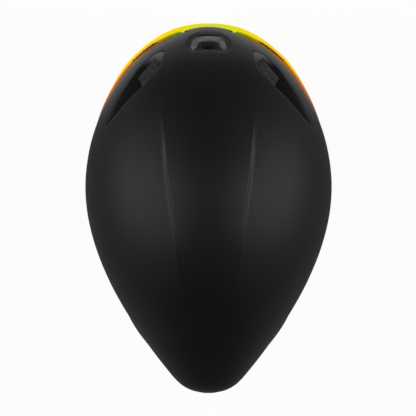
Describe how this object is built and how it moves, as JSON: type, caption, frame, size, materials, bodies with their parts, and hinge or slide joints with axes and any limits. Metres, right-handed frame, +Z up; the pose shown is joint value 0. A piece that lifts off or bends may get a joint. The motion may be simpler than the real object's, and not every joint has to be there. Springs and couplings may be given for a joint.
{
  "type": "aero time trial helmet",
  "caption": "Teardrop aero cycling helmet with a magnetic mirrored visor, foam liner, intakes, dial fit cradle, pads and a buckled chin strap.",
  "frame": {"origin": "on the surface the helmet stands on, under the middle of its overall box", "axes": "+Z up, front of the helmet towards -Y, wearer's left towards +X"},
  "size_m": [0.2312, 0.3465, 0.1964],
  "materials": {
    "skin": "matte black moulded skin",
    "lower_skin": "satin black moulded skin",
    "foam": "black expanded bead foam",
    "intake": "satin black plastic",
    "visor": "yellow to red mirror coated lens",
    "seal": "soft black rubber",
    "magnet": "nickel plated magnet",
    "hardware": "black nylon",
    "screw": "steel screw",
    "pad": "black brushed fabric pad",
    "webbing": "black woven webbing"
  },
  "bodies": {
    "helmet": {"brow_pad": "pad", "buckle_female": "hardware", "chin_pad": "pad", "chin_strap_left": "webbing", "chin_strap_right": "webbing", "crown_pad_left": "pad", "crown_pad_right": "pad", "ear_pad_left": "pad", "ear_pad_right": "pad", "foam_liner": "foam", "front_strap_left": "webbing", "front_strap_plug_left": "hardware", "front_strap_plug_right": "hardware", "front_strap_right": "webbing", "front_vent_frame": "intake", "ladder_clip": "hardware", "lower_shell": "lower_skin", "outer_shell": "skin", "rear_strap_left": "webbing", "rear_strap_plug_left": "hardware", "rear_strap_plug_right": "hardware", "rear_strap_right": "webbing", "shell_magnet_left": "magnet", "shell_magnet_nose": "magnet", "shell_magnet_right": "magnet", "side_pad_left": "pad", "side_pad_right": "pad", "strap_divider_left": "hardware", "strap_divider_right": "hardware", "temple_anchor_left": "hardware", "temple_anchor_right": "hardware", "vent_scoop_left": "intake", "vent_scoop_right": "intake"},
    "visor": {"visor_carrier_left": "hardware", "visor_carrier_nose": "hardware", "visor_carrier_right": "hardware", "visor_lens": "visor", "visor_magnet_left": "magnet", "visor_magnet_nose": "magnet", "visor_magnet_right": "magnet", "visor_seal_left": "seal", "visor_seal_right": "seal"},
    "cradle": {"cradle_housing_back": "hardware", "cradle_housing_front": "hardware", "height_ladder": "hardware", "nape_pad_left": "pad", "nape_pad_right": "pad", "temple_band_left": "hardware", "temple_band_right": "hardware"},
    "dial": {"fit_dial": "hardware", "dial_pinion": "hardware", "dial_screw": "screw"},
    "left_rack": {"rack_left": "hardware"},
    "right_rack": {"rack_right": "hardware"},
    "left_lever": {"divider_lever_left": "hardware"},
    "right_lever": {"divider_lever_right": "hardware"},
    "buckle": {"buckle_male": "hardware"}
  },
  "joints": [
    {"name": "visor_slide", "type": "slide", "parent": "helmet", "child": "visor", "axis": [0, -1, 0], "range_m": [0, 0.06]},
    {"name": "cradle_tilt", "type": "hinge", "parent": "helmet", "child": "cradle", "pos_m": [0, -0.062, 0.07], "axis": [1, 0, 0], "range_deg": [-3, 3]},
    {"name": "dial_turn", "type": "hinge", "parent": "cradle", "child": "dial", "pos_m": [0, 0.04, 0.04], "axis": [0, 1, 0], "range_deg": [-120, 120]},
    {"name": "rack_left_slide", "type": "slide", "parent": "cradle", "child": "left_rack", "axis": [1, 0, 0], "range_m": [-0.0088, 0.0088], "deforming": ["temple_band_left"]},
    {"name": "rack_right_slide", "type": "slide", "parent": "cradle", "child": "right_rack", "axis": [-1, 0, 0], "range_m": [-0.0088, 0.0088], "deforming": ["temple_band_right"]},
    {"name": "lever_left", "type": "hinge", "parent": "helmet", "child": "left_lever", "pos_m": [0.057, -0.027, 0.023], "axis": [0, 1, 0], "range_deg": [0, 80]},
    {"name": "lever_right", "type": "hinge", "parent": "helmet", "child": "right_lever", "pos_m": [-0.057, -0.027, 0.023], "axis": [0, -1, 0], "range_deg": [0, 80]},
    {"name": "buckle_slide", "type": "slide", "parent": "helmet", "child": "buckle", "axis": [-1, 0, 0], "range_m": [0, 0.018], "deforming": ["chin_strap_right"]}
  ],
  "couplings": [
    {"joint": "rack_left_slide", "follows": "dial_turn", "m_per_rad": 0.0042},
    {"joint": "rack_right_slide", "follows": "dial_turn", "m_per_rad": 0.0042}
  ]
}
